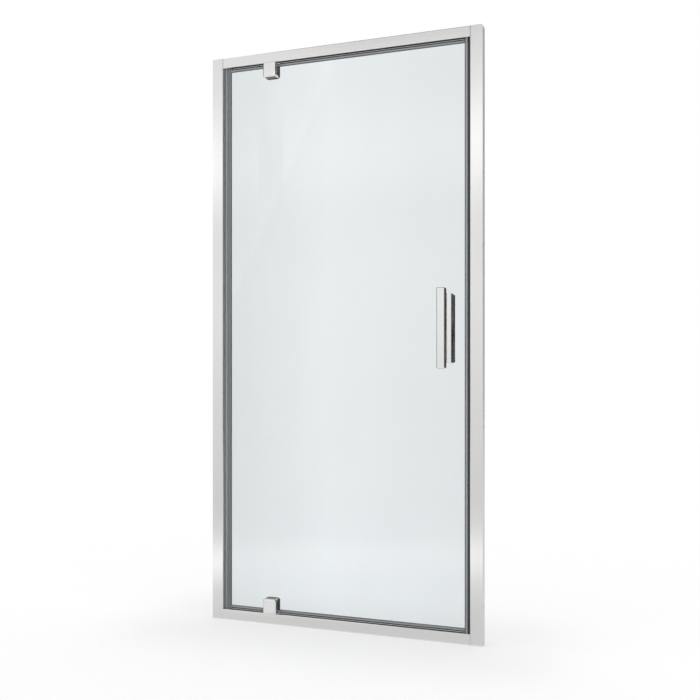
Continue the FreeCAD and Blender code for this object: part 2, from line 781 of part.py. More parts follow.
def build_hinge_block(label, **at):
    """The outer clamp block, rounded towards the viewer, with the boss that carries the pin."""
    body = new_body(label)
    front = f"-({CLAMP_FACE} + hinge_block_depth)"
    outline = box("-hinge_width / 2", front, "hinge_width / 2", f"-{CLAMP_FACE}")
    pad(body, draw(body, "XY_Plane", [outline]), "hinge_height", against=True)
    round_edges(
        body,
        "hinge_corner_radius",
        lambda edge: lies(edge, "y", z=-value("hinge_height")),
    )
    round_edges(
        body,
        "hinge_face_radius",
        lambda edge: on_plane(edge, "y", value(front)) and not on_plane(edge, "z", 0),
    )
    back = -value(CLAMP_FACE)
    round_edges(
        body,
        "hinge_rail_radius",
        lambda edge: on_plane(edge, "z", 0) and not on_plane(edge, "y", back),
    )
    shower_side = f"{CLAMP_FACE} + hinge_plate_depth"
    boss = box("-boss_width / 2", f"-{CLAMP_FACE}", "boss_width / 2", shower_side)
    pad(body, draw(body, "XY_Plane", [boss]), "boss_height", against=True)
    pin_hole = [("0", "0", "pin_diameter / 2 + pin_fit")]
    pocket(body, draw(body, "XY_Plane", circles=pin_hole), "pin_seat")
    threads = clamp_holes_at("clamp_screw_diameter / 2 + screw_fit")
    pocket(body, draw(body, "XZ_Plane", circles=threads), f"{CLAMP_FACE} + clamp_bite", along=True)
    return node(place(body, **at))


def clamp_outline():
    """The outline that the inner plate and the gaskets share, notched round the boss."""
    notch_half = "(boss_width / 2 + boss_gap)"
    notch_end = "-(boss_height + boss_gap)"
    return [
        ("-hinge_width / 2", "0"),
        (f"-{notch_half}", "0"),
        (f"-{notch_half}", notch_end),
        (notch_half, notch_end),
        (notch_half, "0"),
        ("hinge_width / 2", "0"),
        ("hinge_width / 2", "-hinge_height"),
        ("-hinge_width / 2", "-hinge_height"),
    ]


def build_hinge_plate(label, **at):
    """The inner clamp plate with two countersunk holes."""
    body = new_body(label)
    hole = "(clamp_screw_diameter / 2 + clamp_pass)"
    outline = draw(body, "XZ_Plane", [clamp_outline()], clamp_holes_at(hole))
    pad(body, outline, "hinge_plate_depth", against=True)
    round_edges(
        body,
        "hinge_corner_radius",
        lambda edge: lies(edge, "y", z=-value("hinge_height")),
    )
    shower_side = value("hinge_plate_depth")
    bevel_edges(
        body,
        "(clamp_head_diameter - clamp_screw_diameter) / 2 - clamp_pass",
        lambda edge: isinstance(edge.Curve, Part.Circle)
        and abs(edge.Curve.Radius - value(hole)) < TOUCH
        and on_plane(edge, "y", shower_side),
    )
    return node(place(body, **at))


def build_hinge_gasket():
    """One gasket sheet, which the groups below use on both sides of the glass."""
    body = new_body("hinge_gasket")
    holes = clamp_holes_at("clamp_screw_diameter / 2 + clamp_pass")
    outline = draw(body, "XZ_Plane", [clamp_outline()], holes)
    pad(body, outline, "gasket_thickness", against=True)
    round_edges(
        body,
        "hinge_corner_radius",
        lambda edge: lies(edge, "y", z=-value("hinge_height")),
    )
    return body


def build_sleeve(label, hole_diameter, bolt_diameter, passing):
    """A plastic sleeve between a screw and the edge of its hole in the glass."""
    body = new_body(label)
    circles = [
        ("0", "0", f"{hole_diameter} / 2 - sleeve_gap"),
        ("0", "0", f"{bolt_diameter} / 2 + {passing}"),
    ]
    pad(body, draw(body, "XZ_Plane", circles=circles), "glass_thickness", both_ways=True)
    return body


def build_clamp_screw():
    """A countersunk screw, its head's top at zero."""
    body = new_body("clamp_screw")
    shank = "(clamp_screw_diameter / 2)"
    length = f"(hinge_plate_depth + 2 * {CLAMP_FACE} + clamp_bite - clamp_tip_gap)"
    turn(body, [
        ("0", "0"),
        ("clamp_head_diameter / 2", "0"),
        (shank, f"{shank} - clamp_head_diameter / 2"),
        (shank, f"-{length}"),
        ("0", f"-{length}"),
    ])
    return body


def build_pivot_pin(label, **at):
    body = new_body(label)
    length = f"pin_seat + rail_gap + {PIN_REACH}"
    pin = [("0", "0", "pin_diameter / 2")]
    pad(body, draw(body, "XY_Plane", circles=pin, offset="-pin_seat"), length)
    bevel_edges(body, "pin_chamfer", lambda edge: isinstance(edge.Curve, Part.Circle))
    return node(place(body, **at))


def build_hinges():
    gasket = build_hinge_gasket()
    sleeve = build_sleeve("clamp_sleeve", "clamp_hole_diameter", "clamp_screw_diameter", "clamp_pass")
    clamp_screw = build_clamp_screw()
    ends = (
        ("top", LINTEL, "-", None),
        ("bottom", SILL, "+", UPSIDE_DOWN),
    )
    for end, rail, into_leaf, turned in ends:
        rail_side = f"{rail} {into_leaf} rail_gap"
        screw_height = f"{rail} {into_leaf} {CLAMP_DEPTH}"
        screw_places = (f"{PIVOT} - clamp_spread / 2", f"{PIVOT} + clamp_spread / 2")
        build_hinge_block(f"{end}_hinge_block", across=PIVOT, up=rail_side, turned=turned)
        build_hinge_plate(
            f"{end}_hinge_plate", across=PIVOT, into=CLAMP_FACE, up=rail_side, turned=turned
        )
        build_pivot_pin(f"{end}_pivot_pin", across=PIVOT, up=rail_side, turned=turned)
        both_faces = (f"-{CLAMP_FACE}", HALF_GLASS)
        group(
            f"{end}_hinge_gaskets",
            gasket,
            [(PIVOT, face, rail_side) for face in both_faces],
            turned,
        )
        group(
            f"{end}_hinge_sleeves",
            sleeve,
            [(across, "0", screw_height) for across in screw_places],
        )
        group(
            f"{end}_hinge_screws",
            clamp_screw,
            [(across, f"{CLAMP_FACE} + hinge_plate_depth", screw_height) for across in screw_places],
            HEAD_TO_SHOWER,
        )


# ---------------------------------------------------------------- handle

def bolt_circles(radius):
    return [("0", f"{sign}bolt_spacing / 2", radius) for sign in ("-", "")]


def build_handle_grip():
    """The front bar, which overhangs its base towards the pivot to leave room for fingers."""
    body = new_body("handle_grip")
    outline = box("base_overlap / 2 - grip_width", "-grip_depth", "base_overlap / 2", "0")
    pad(body, draw(body, "XY_Plane", [outline]), "grip_length", both_ways=True)
    round_edges(body, "grip_radius", lambda edge: True)
    threads = bolt_circles("bolt_diameter / 2 + screw_fit")
    pocket(body, draw(body, "XZ_Plane", circles=threads), "bolt_bite", along=True)
    return node(place(body, HANDLE_X, f"-{GRIP_BACK}", "handle_height"))


def build_handle_base():
    """The stand-off bar between the grip and the glass."""
    body = new_body("handle_base")
    outline = box("-base_overlap / 2", "-base_depth", "base_width - base_overlap / 2", "0")
    pad(body, draw(body, "XY_Plane", [outline]), "base_length", both_ways=True)
    free_side = value("base_width - base_overlap / 2")
    round_edges(
        body,
        "base_radius",
        lambda edge: on_plane(edge, "x", free_side) and not on_plane(edge, "y", 0),
    )
    holes = bolt_circles("bolt_diameter / 2 + bolt_pass")
    pocket(body, draw(body, "XZ_Plane", circles=holes), "base_depth", along=True)
    return node(place(body, HANDLE_X, f"-{CLAMP_FACE}", "handle_height"))


def build_handle_pull():
    """The bar on the shower side, counterbored for the bolt heads and their caps."""
    body = new_body("handle_inner_pull")
    outline = box("-base_overlap / 2", "0", "base_width - base_overlap / 2", "pull_depth")
    pad(body, draw(body, "XY_Plane", [outline]), "base_length", both_ways=True)
    round_edges(
        body,
        "grip_radius",
        lambda edge: edge.BoundBox.YMax > value("pull_depth") - TOUCH,
    )
    holes = bolt_circles("bolt_diameter / 2 + bolt_pass")
    pocket(body, draw(body, "XZ_Plane", circles=holes), "pull_depth")
    heads = bolt_circles("bolt_head_diameter / 2 + bolt_pass")
    seat = draw(body, "XZ_Plane", circles=heads, offset=f"{COUNTERBORE} - pull_depth")
    pocket(body, seat, COUNTERBORE)
    return node(place(body, HANDLE_X, CLAMP_FACE, "handle_height"))


def build_handle():
    build_handle_grip()
    build_handle_base()
    build_handle_pull()

    gasket = new_body("handle_gasket")
    right_side = "base_width - base_overlap / 2"
    outline = box("-base_overlap / 2", "-base_length / 2", right_side, "base_length / 2")
    holes = bolt_circles("bolt_diameter / 2 + bolt_pass")
    pad(gasket, draw(gasket, "XZ_Plane", [outline], holes), "gasket_thickness", against=True)
    faces = (f"-{CLAMP_FACE}", HALF_GLASS)
    group("handle_gaskets", gasket, [(HANDLE_X, face, "handle_height") for face in faces])

    sleeve = build_sleeve("bolt_sleeve", "bolt_hole_diameter", "bolt_diameter", "bolt_pass")
    heights = [f"handle_height {sign} bolt_spacing / 2" for sign in "-+"]
    group("handle_sleeves", sleeve, [(HANDLE_X, "0", up) for up in heights])

    head_seat = f"({CLAMP_FACE} + pull_depth - {COUNTERBORE})"
    length = f"({head_seat} + {GRIP_BACK} + bolt_bite - bolt_tip_gap)"
    bolt = new_body("handle_bolt")
    turn(bolt, screw_section("bolt_head_diameter / 2", "bolt_head_height", "bolt_diameter / 2", length))
    places = [(HANDLE_X, head_seat, up) for up in heights]
    group("handle_bolts", bolt, places, HEAD_TO_SHOWER)

    cap = new_body("bolt_cap")
    disc = [("0", "0", "bolt_head_diameter / 2 + bolt_pass / 2")]
    pad(cap, draw(cap, "XY_Plane", circles=disc), "bolt_cap_thickness")
    places = [(HANDLE_X, f"{head_seat} + bolt_head_height", up) for up in heights]
    group("handle_bolt_caps", cap, places, HEAD_TO_SHOWER)


# ---------------------------------------------------------------- checks and files

def check_document():
    """Stops at the first object that failed, or cut that took nothing away."""
    doc.recompute()
    for item in doc.Objects:
        if "Invalid" in item.State or "Error" in item.State:
            raise RuntimeError(f"{item.Label} failed: {item.State}")
        if item.TypeId == "PartDesign::Pocket":
            if item.Shape.Volume > item.BaseFeature.Shape.Volume - TOUCH:
                raise RuntimeError(f"{item.Label} cuts nothing")
    for piece in nodes:
        if piece.Shape.isNull() or not piece.Shape.isValid():
            raise RuntimeError(f"{piece.Label} has no valid shape")


def write_files():
    os.makedirs("parts", exist_ok=True)
    for piece in nodes:
        piece.Shape.exportStep(f"parts/{piece.Label}.step")


build_frame()
build_glass()
build_seals()
build_hinges()
build_handle()
check_document()
write_files()
print(f"{len(nodes)} pieces written")
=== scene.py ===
import math

import bmesh
import bpy
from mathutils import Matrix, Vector


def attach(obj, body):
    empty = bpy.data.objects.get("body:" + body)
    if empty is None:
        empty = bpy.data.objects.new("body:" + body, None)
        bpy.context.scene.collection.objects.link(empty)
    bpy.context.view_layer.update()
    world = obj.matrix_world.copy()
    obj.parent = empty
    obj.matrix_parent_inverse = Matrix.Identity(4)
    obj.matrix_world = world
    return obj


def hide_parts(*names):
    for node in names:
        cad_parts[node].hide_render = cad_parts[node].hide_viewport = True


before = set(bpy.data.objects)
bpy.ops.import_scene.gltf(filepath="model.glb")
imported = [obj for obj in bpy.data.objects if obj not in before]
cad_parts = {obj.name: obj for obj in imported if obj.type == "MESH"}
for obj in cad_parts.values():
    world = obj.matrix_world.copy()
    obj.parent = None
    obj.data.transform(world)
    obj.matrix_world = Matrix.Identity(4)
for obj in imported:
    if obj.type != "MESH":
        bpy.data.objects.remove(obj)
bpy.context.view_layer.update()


# ---------------------------------------------------------------- camera
# The photographer stands to the right of the door at chest height, with the camera level, so the
# uprights stay upright. The horizon lies a little below the middle of the picture.

PICTURE_PIXELS = 700
FOCAL_PIXELS = 868
HORIZON_PIXELS = 370.6
SENSOR_WIDTH = 36.0
CAMERA_PLACE = (0.943, -2.574, 0.821)
CAMERA_LEVEL = math.radians(90)
CAMERA_TURN = math.radians(19.6)

scene = bpy.context.scene
scene.view_settings.view_transform = "Standard"
lens = bpy.data.cameras.new("photo_camera")
lens.sensor_width = SENSOR_WIDTH
lens.lens = SENSOR_WIDTH * FOCAL_PIXELS / PICTURE_PIXELS
lens.shift_y = (HORIZON_PIXELS - PICTURE_PIXELS / 2) / PICTURE_PIXELS
camera = bpy.data.objects.new("photo_camera", lens)
camera.location = CAMERA_PLACE
camera.rotation_euler = (CAMERA_LEVEL, 0, CAMERA_TURN)
scene.collection.objects.link(camera)
scene.camera = camera


# ---------------------------------------------------------------- studio
# A white room with three soft lamps. The floor is matt and pale, keeps the door's shadow and fades
# into a white haze. A sheer scrim over the door's foot, which no view shows, deepens that shadow.

WHITE = (1, 1, 1, 1)
ROOM_LIGHT = 0.62
FLOOR_COLOUR = (0.62, 0.62, 0.622, 1)
FLOOR_GLOW = 0.522
FLOOR_RADIUS = 9.0
FLOOR_SIDES = 96
FLOOR_DROP = 0.0005
FLOOR_FADE = (0.15, 0.95)
SCRIM_CORNERS = ((-0.66, -0.30), (0.66, 0.26))
SCRIM_HEIGHT = 0.16
SCRIM_TONE = (0.79, 0.79, 0.79, 1)
LAMPS = {
    "key_lamp": {"stands": (-0.50, -0.50, 1.0), "softness": 45, "strength": 0.28},
    "fill_lamp": {"stands": (0.60, -0.30, 1.0), "softness": 60, "strength": 0.22},
    "back_lamp": {"stands": (0.10, 0.60, 1.0), "softness": 60, "strength": 0.09},
}


def shader(tree, kind, feeds=None, **settings):
    """Adds a shader node. Each feed is a plain value or the socket that drives the input."""
    made = tree.nodes.new("ShaderNode" + kind)
    for name, setting in settings.items():
        setattr(made, name, setting)
    for name, feed in (feeds or {}).items():
        if isinstance(feed, bpy.types.NodeSocket):
            tree.links.new(feed, made.inputs[name])
        else:
            made.inputs[name].default_value = feed
    return made


def empty_tree(owner):
    """The owner's node tree, with nothing in it."""
    owner.use_nodes = True
    owner.node_tree.nodes.clear()
    return owner.node_tree


def stops(node, marks):
    """Sets a colour ramp's stops from (place, grey) pairs."""
    ramp = node.color_ramp
    while len(ramp.elements) < len(marks):
        ramp.elements.new(0.5)
    for element, (place, grey) in zip(ramp.elements, marks):
        element.position = place
        element.color = (grey, grey, grey, 1)
    return node


def seen_directly(tree):
    """One for camera, mirror and see-through rays, and nought for rays that light things."""
    path = shader(tree, "LightPath")
    total = shader(tree, "Math", {0: path.outputs["Is Camera Ray"], 1: path.outputs["Is Glossy Ray"]},
                   operation="ADD")
    return shader(tree, "Math", {0: total.outputs[0], 1: path.outputs["Is Transmission Ray"]},
                  operation="ADD", use_clamp=True).outputs[0]


def build_room():
    """A white background to look at, and a dimmer one that lights the door."""
    world = bpy.data.worlds.new("white_room")
    scene.world = world
    tree = empty_tree(world)
    dim = shader(tree, "Background", {"Color": WHITE, "Strength": ROOM_LIGHT})
    white = shader(tree, "Background", {"Color": WHITE, "Strength": 1.0})
    mixed = shader(tree, "MixShader", {0: seen_directly(tree), 1: dim.outputs[0], 2: white.outputs[0]})
    shader(tree, "OutputWorld", {"Surface": mixed.outputs[0]})


def floor_material():
    """Pale and matt round the door, and the room's own white towards the rim."""
    material = bpy.data.materials.new("studio_floor")
    tree = empty_tree(material)
    matt = shader(tree, "BsdfDiffuse", {"Color": FLOOR_COLOUR})
    seen = seen_directly(tree)
    strength = shader(tree, "Math", {0: seen, 1: FLOOR_GLOW}, operation="MULTIPLY")
    glow = shader(tree, "Emission", {"Color": WHITE, "Strength": strength.outputs[0]})
    lit = shader(tree, "AddShader", {0: matt.outputs[0], 1: glow.outputs[0]})
    away = shader(tree, "TexCoord")
    distance = shader(tree, "VectorMath", {0: away.outputs["Object"]}, operation="LENGTH")
    share = shader(tree, "MapRange", {
        "Value": distance.outputs["Value"],
        "From Min": FLOOR_RADIUS * FLOOR_FADE[0],
        "From Max": FLOOR_RADIUS * FLOOR_FADE[1],
    }, interpolation_type="SMOOTHSTEP")
    haze = shader(tree, "Math", {0: seen, 1: 1 - ROOM_LIGHT, 2: ROOM_LIGHT}, operation="MULTIPLY_ADD")
    white = shader(tree, "Emission", {"Color": WHITE, "Strength": haze.outputs[0]})
    mixed = shader(tree, "MixShader", {0: share.outputs[0], 1: lit.outputs[0], 2: white.outputs[0]})
    shader(tree, "OutputMaterial", {"Surface": mixed.outputs[0]})
    material.cycles.emission_sampling = "NONE"
    return material


def mesh_object(name, bm, material):
    """Makes an object at the origin from a finished bmesh."""
    mesh = bpy.data.meshes.new(name)
    bm.to_mesh(mesh)
    bm.free()
    made = bpy.data.objects.new(name, mesh)
    made.data.materials.append(material)
    scene.collection.objects.link(made)
    return made


def hide_from_views(thing):
    """Leaves only what the thing does to the light."""
    thing.visible_camera = False
    thing.visible_glossy = False
    thing.visible_transmission = False


def build_floor():
    bm = bmesh.new()
    bmesh.ops.create_circle(bm, cap_ends=True, radius=FLOOR_RADIUS, segments=FLOOR_SIDES)
    floor = mesh_object("studio_floor", bm, floor_material())
    floor.location.z = -FLOOR_DROP


def build_lamps():
    """Far, wide lamps, so that the floor is lit evenly. Each stands the way its vector points."""
    for name, lamp in LAMPS.items():
        light = bpy.data.lights.new(name, "SUN")
        light.angle = math.radians(lamp["softness"])
        light.energy = lamp["strength"]
        holder = bpy.data.objects.new(name, light)
        holder.rotation_euler = Vector(lamp["stands"]).to_track_quat("Z", "Y").to_euler()
        hide_from_views(holder)
        scene.collection.objects.link(holder)


def build_scrim():
    """A sheer cloth that takes some of the light from the floor round the door's foot."""
    material = bpy.data.materials.new("sheer_scrim")
    tree = empty_tree(material)
    cloth = shader(tree, "BsdfTransparent", {"Color": SCRIM_TONE})
    shader(tree, "OutputMaterial", {"Surface": cloth.outputs[0]})
    (left, near), (right, far) = SCRIM_CORNERS
    bm = bmesh.new()
    ring = ((left, near), (right, near), (right, far), (left, far))
    bm.faces.new([bm.verts.new((*corner, SCRIM_HEIGHT)) for corner in ring])
    scrim = mesh_object("sheer_scrim", bm, material)
    hide_from_views(scrim)


build_room()
build_floor()
build_lamps()
build_scrim()


# ---------------------------------------------------------------- mirror boards
# Photographers stand white, grey and black boards where polished metal mirrors them. These show
# only to rays that have met a mirror. A sweep with a soft band along the floor and another high on
# the wall stands in front, and flags at the right and behind give the chrome its dark sides.

SWEEP_FAR = -6.0
SWEEP_TOP = 7.0
SWEEP_LEFT = -14.0
SWEEP_GLOW = 1.4
SWEEP_SLANT = 0.45
SLANT_START = -0.3
# Each band's stop is in metres, out along the floor or up the wall, with its grey.
FLOOR_BANDS = ((0.0, 0.50), (0.4, 0.55), (1.1, 0.85), (1.7, 0.55), (2.6, 0.50), (6.0, 0.55))
WALL_BANDS = ((0.0, 0.55), (1.7, 0.65), (2.4, 0.62), (3.1, 0.93), (3.9, 0.62), (7.0, 0.50))
BOARD_LIFT = 0.0005
BOARD_TOP = 9.0
RIGHT_SIDE = 4.5
LEFT_SIDE = -7.0
REAR = 12.0
REAR_TOP = 7.0
BLACK = 0.015
# How many mirrors a ray has met: the middle of the count, and how far it may be off.
MIRRORED = {
    "always": (3.0, 2.5),
    "once": (1.0, 0.5),
    "again": (4.0, 2.5),
    "through glass": (3.0, 2.5),
}
# Each board: how it stands, its two spans, its place along the third axis, its tone, and when seen.
BOARDS = {
    "floor_sweep": ("level", (SWEEP_LEFT, 7), (SWEEP_FAR, -0.03), BOARD_LIFT, FLOOR_BANDS, "always"),
    "wall_sweep": ("facing", (SWEEP_LEFT, 1), (BOARD_LIFT, SWEEP_TOP), SWEEP_FAR, WALL_BANDS, "always"),
    "front_flag": ("facing", (1.0, 4.5), (BOARD_LIFT, SWEEP_TOP), SWEEP_FAR, BLACK, "once"),
    "right_front": ("sideways", (SWEEP_FAR, -2.5), (BOARD_LIFT, BOARD_TOP), RIGHT_SIDE, 0.03, "always"),
    "right_side": ("sideways", (-2.5, 2.5), (BOARD_LIFT, BOARD_TOP), RIGHT_SIDE, 0.22, "always"),
    "right_rear": ("sideways", (2.5, 8.5), (BOARD_LIFT, BOARD_TOP), RIGHT_SIDE, 0.60, "always"),
    "right_far": ("sideways", (8.5, 12.0), (BOARD_LIFT, BOARD_TOP), RIGHT_SIDE, BLACK, "always"),
    "left_board": ("sideways", (SWEEP_FAR, 8.0), (BOARD_LIFT, BOARD_TOP), LEFT_SIDE, 0.12, "always"),
    "rear_board": ("facing", (1.5, 2.95), (BOARD_LIFT, REAR_TOP), REAR, 0.55, "always"),
    "rear_flag": ("facing", (2.95, 6.2), (BOARD_LIFT, REAR_TOP), REAR, BLACK, "through glass"),
    "rear_left_flag": ("facing", (-9.0, -2.6), (BOARD_LIFT, REAR_TOP), REAR, 0.28, "through glass"),
    "rear_floor_flag": ("level", (-4.0, -1.2), (2.5, 7.5), BOARD_LIFT, 0.20, "through glass"),
    "floor_flag": ("level", (-0.3, 0.44), (0.03, 1.0), BOARD_LIFT, BLACK, "through glass"),
    "clamp_board": ("facing", (-3.15, -2.87), (2.2, 5.4), SWEEP_FAR + 0.01, 0.87, "always"),
    "clamp_card": ("level", (-0.46, -0.28), (-0.42, -0.12), 2 * BOARD_LIFT, 0.83, "always"),
    "high_flag": ("level", (-0.7, 1.6), (-1.6, -0.2), 2.6, BLACK, "always"),
    "handle_flag": ("facing", (0.3583, 0.40), (0.80, 1.10), -0.09, BLACK, "again"),
}


def sweep_bands(tree, kind, bands):
    """Soft bands at so many metres out along the floor, a little aslant, or up the wall."""
    place = shader(tree, "TexCoord")
    parts = shader(tree, "SeparateXYZ", {0: place.outputs["Object"]})
    along = parts.outputs["Z"]
    if kind == "level":
        aslant = shader(tree, "Math", {
            0: parts.outputs["X"], 1: -SWEEP_SLANT, 2: SWEEP_SLANT * SLANT_START,
        }, operation="MULTIPLY_ADD")
        along = shader(tree, "Math", {0: aslant.outputs[0], 1: parts.outputs["Y"]},
                       operation="SUBTRACT").outputs[0]
    reach = bands[-1][0]
    share = shader(tree, "Math", {0: along, 1: reach}, operation="DIVIDE")
    ramp = shader(tree, "ValToRGB", {0: share.outputs[0]})
    stops(ramp, [(metres / reach, grey) for metres, grey in bands])
    ramp.color_ramp.interpolation = "EASE"
    return ramp.outputs["Color"]


def board_material(name, kind, tone, mirrored):
    """Shows its tone, or its bands, to rays that mirrors have sent and to no others."""
    material = bpy.data.materials.new(name)
    tree = empty_tree(material)
    path = shader(tree, "LightPath")
    middle, reach = MIRRORED[mirrored]
    shown = shader(tree, "Math", {0: path.outputs["Glossy Depth"], 1: middle, 2: reach},
                   operation="COMPARE").outputs[0]
    if mirrored == "through glass":
        shown = shader(tree, "Math", {0: path.outputs["Transmission Depth"], 1: shown},
                       operation="MULTIPLY", use_clamp=True).outputs[0]
    if isinstance(tone, tuple):
        glow = {"Color": sweep_bands(tree, kind, tone), "Strength": SWEEP_GLOW}
    else:
        glow = {"Color": (tone, tone, tone, 1)}
    clear = shader(tree, "BsdfTransparent")
    board = shader(tree, "Emission", glow)
    mixed = shader(tree, "MixShader", {0: shown, 1: clear.outputs[0], 2: board.outputs[0]})
    shader(tree, "OutputMaterial", {"Surface": mixed.outputs[0]})
    material.cycles.emission_sampling = "NONE"
    return material


def stand_board(name, kind, across, along, depth, tone, mirrored):
    """A level board spans X and Y, a facing one X and Z, a sideways one Y and Z."""
    ring = ((across[0], along[0]), (across[1], along[0]), (across[1], along[1]), (across[0], along[1]))
    corners = {
        "level": [(first, second, depth) for first, second in ring],
        "facing": [(first, depth, second) for first, second in ring],
        "sideways": [(depth, first, second) for first, second in ring],
    }[kind]
    bm = bmesh.new()
    bm.faces.new([bm.verts.new(corner) for corner in corners])
    board = mesh_object(name, bm, board_material(name, kind, tone, mirrored))
    board.visible_camera = False
    board.visible_diffuse = False
    board.visible_shadow = False


for board_name, board_plan in BOARDS.items():
    stand_board(board_name, *board_plan)


# ---------------------------------------------------------------- silver frame
# The posts and rails are aluminium extrusions, polished and anodised bright silver. The die leaves
# faint lines along each length, and the corners are butted and screwed from inside the posts.

SILVER = (0.85, 0.85, 0.842, 1)
SILVER_SHADE = (0.815, 0.816, 0.811, 1)
SILVER_ROUGHNESS = (0.13, 0.21)
SILVER_LINE_DEPTH = 0.000002
DIE_LINES = 1400.0
DIE_LINE_RUN = 1.2
TONE_DRIFT = 9.0
TONE_DRIFT_RUN = 1.6


def stretched(run, across, length):
    """A pattern's scale on each axis: fine across the run and long along it."""
    return [length if axis == run else across for axis in "xyz"]


def blotches(tree, scale, detail=3.0):
    """Soft noise on the piece's own coordinates, stretched by the scale."""
    place = shader(tree, "TexCoord")
    space = shader(tree, "Mapping", {"Vector": place.outputs["Object"], "Scale": scale})
    return shader(tree, "TexNoise", {
        "Vector": space.outputs[0], "Scale": 1.0, "Detail": detail,
    }).outputs["Fac"]


def between(tree, pattern, low, high, ends=(0.3, 0.7)):
    """Maps a pattern to numbers between low and high."""
    return shader(tree, "MapRange", {
        "Value": pattern, "From Min": ends[0], "From Max": ends[1], "To Min": low, "To Max": high,
    }).outputs[0]


def drifting(tree, pattern, first, second):
    """A colour that drifts from the first to the second with the pattern."""
    share = between(tree, pattern, 0.0, 1.0)
    return shader(tree, "MixRGB", {0: share, 1: first, 2: second}).outputs[0]


def relief(tree, height, depth):
    """A bump whose highest point stands the depth, in metres, over its lowest."""
    return shader(tree, "Bump", {"Height": height, "Distance": depth, "Strength": 1.0}).outputs[0]


def surface(name, feeds):
    """A material with one Principled shader, its feeds given as a function of the node tree."""
    material = bpy.data.materials.new(name)
    tree = empty_tree(material)
    finish = shader(tree, "BsdfPrincipled", feeds(tree))
    shader(tree, "OutputMaterial", {"Surface": finish.outputs[0]})
    return material


def extruded_metal(name, run, light, shade, roughness, line_depth):
    """Aluminium from a die: fine lines along the run, and a slow drift of tone."""
    def feeds(tree):
        lines = blotches(tree, stretched(run, DIE_LINES, DIE_LINE_RUN), detail=2.0)
        slow = blotches(tree, stretched(run, TONE_DRIFT, TONE_DRIFT_RUN))
        return {
            "Base Color": drifting(tree, slow, light, shade),
            "Metallic": 1.0,
            "Roughness": between(tree, lines, *roughness),
            "Normal": relief(tree, lines, line_depth),
        }

    return surface(name, feeds)


def silver(name, run):
    return extruded_metal(name, run, SILVER, SILVER_SHADE, SILVER_ROUGHNESS, SILVER_LINE_DEPTH)


def dress(names, material):
    """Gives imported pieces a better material."""
    for name in names:
        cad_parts[name].material_slots[0].material = material


dress(("left_post", "right_post"), silver("upright_silver", "z"))
dress(("top_rail", "bottom_rail"), silver("level_silver", "x"))


# ---------------------------------------------------------------- wall channels
# Plain extruded channels, left as they come from the die, screwed to the walls. The posts slide
# over them.

MILL_METAL = (0.70, 0.70, 0.69, 1)
MILL_SHADE = (0.60, 0.60, 0.595, 1)
MILL_ROUGHNESS = (0.32, 0.46)
MILL_LINE_DEPTH = 0.000005

mill_aluminium = extruded_metal(
    "mill_aluminium", "z", MILL_METAL, MILL_SHADE, MILL_ROUGHNESS, MILL_LINE_DEPTH
)
dress(("left_wall_channel", "right_wall_channel"), mill_aluminium)


# ---------------------------------------------------------------- moulded plastic
# The post caps and the strike stop are light grey plastic with a fine spark grain from the mould.
# The pivot bushes and the sleeves in the glass holes are natural nylon.

GREY_PLASTIC = (0.60, 0.61, 0.62, 1)
GREY_SHADE = (0.54, 0.55, 0.56, 1)
GREY_ROUGHNESS = (0.40, 0.58)
NYLON = (0.84, 0.83, 0.78, 1)
NYLON_SHADE = (0.78, 0.77, 0.71, 1)
NYLON_ROUGHNESS = (0.34, 0.50)
NYLON_GRAIN_DEPTH = 0.00001
MOULD_GRAIN = (2600, 2600, 2600)
MOULD_DRIFT = (30, 30, 30)
MOULD_GRAIN_DEPTH = 0.00002
PLASTIC_IOR = 1.49


def moulded(name, light, shade, roughness, grain_depth=MOULD_GRAIN_DEPTH):
    """Plastic or rubber from a mould: a fine grain, and a slow drift of tone."""
    def feeds(tree):
        grain = blotches(tree, MOULD_GRAIN, detail=2.0)
        slow = blotches(tree, MOULD_DRIFT)
        return {
            "Base Color": drifting(tree, slow, light, shade),
            "Roughness": between(tree, grain, *roughness),
            "IOR": PLASTIC_IOR,
            "Normal": relief(tree, grain, grain_depth),
        }

    return surface(name, feeds)


grey_plastic = moulded("grey_plastic", GREY_PLASTIC, GREY_SHADE, GREY_ROUGHNESS)
nylon = moulded("natural_nylon", NYLON, NYLON_SHADE, NYLON_ROUGHNESS, NYLON_GRAIN_DEPTH)
dress(("left_post_cap", "right_post_cap", "strike_stop"), grey_plastic)
dress(("top_pivot_bush", "bottom_pivot_bush"), nylon)
dress(("top_hinge_sleeves", "bottom_hinge_sleeves", "handle_sleeves"), nylon)


# ---------------------------------------------------------------- steel parts inside
# Screws, bolts, pins and the thrust disc are stainless steel, turned and left with a fine satin
# of tool marks.

STEEL = (0.62, 0.61, 0.60, 1)
STEEL_SHADE = (0.52, 0.515, 0.51, 1)
STEEL_ROUGHNESS = (0.22, 0.38)
TOOL_MARKS = (1900, 1900, 1900)
TOOL_MARK_DEPTH = 0.000004
STEEL_DRIFT = (60, 60, 60)


def turned_steel(name):
    def feeds(tree):
        marks = blotches(tree, TOOL_MARKS, detail=4.0)
        slow = blotches(tree, STEEL_DRIFT)
        return {
            "Base Color": drifting(tree, slow, STEEL, STEEL_SHADE),
            "Metallic": 1.0,
            "Roughness": between(tree, marks, *STEEL_ROUGHNESS),
            "Normal": relief(tree, marks, TOOL_MARK_DEPTH),
        }

    return surface(name, feeds)


steel = turned_steel("stainless_steel")
dress(("corner_screws", "channel_screws", "handle_bolts", "pivot_thrust_disc"), steel)
dress(("top_pivot_pin", "bottom_pivot_pin"), steel)


# ---------------------------------------------------------------- screw covers
# Small domed plastic covers snap over the channel screws on the shower side.

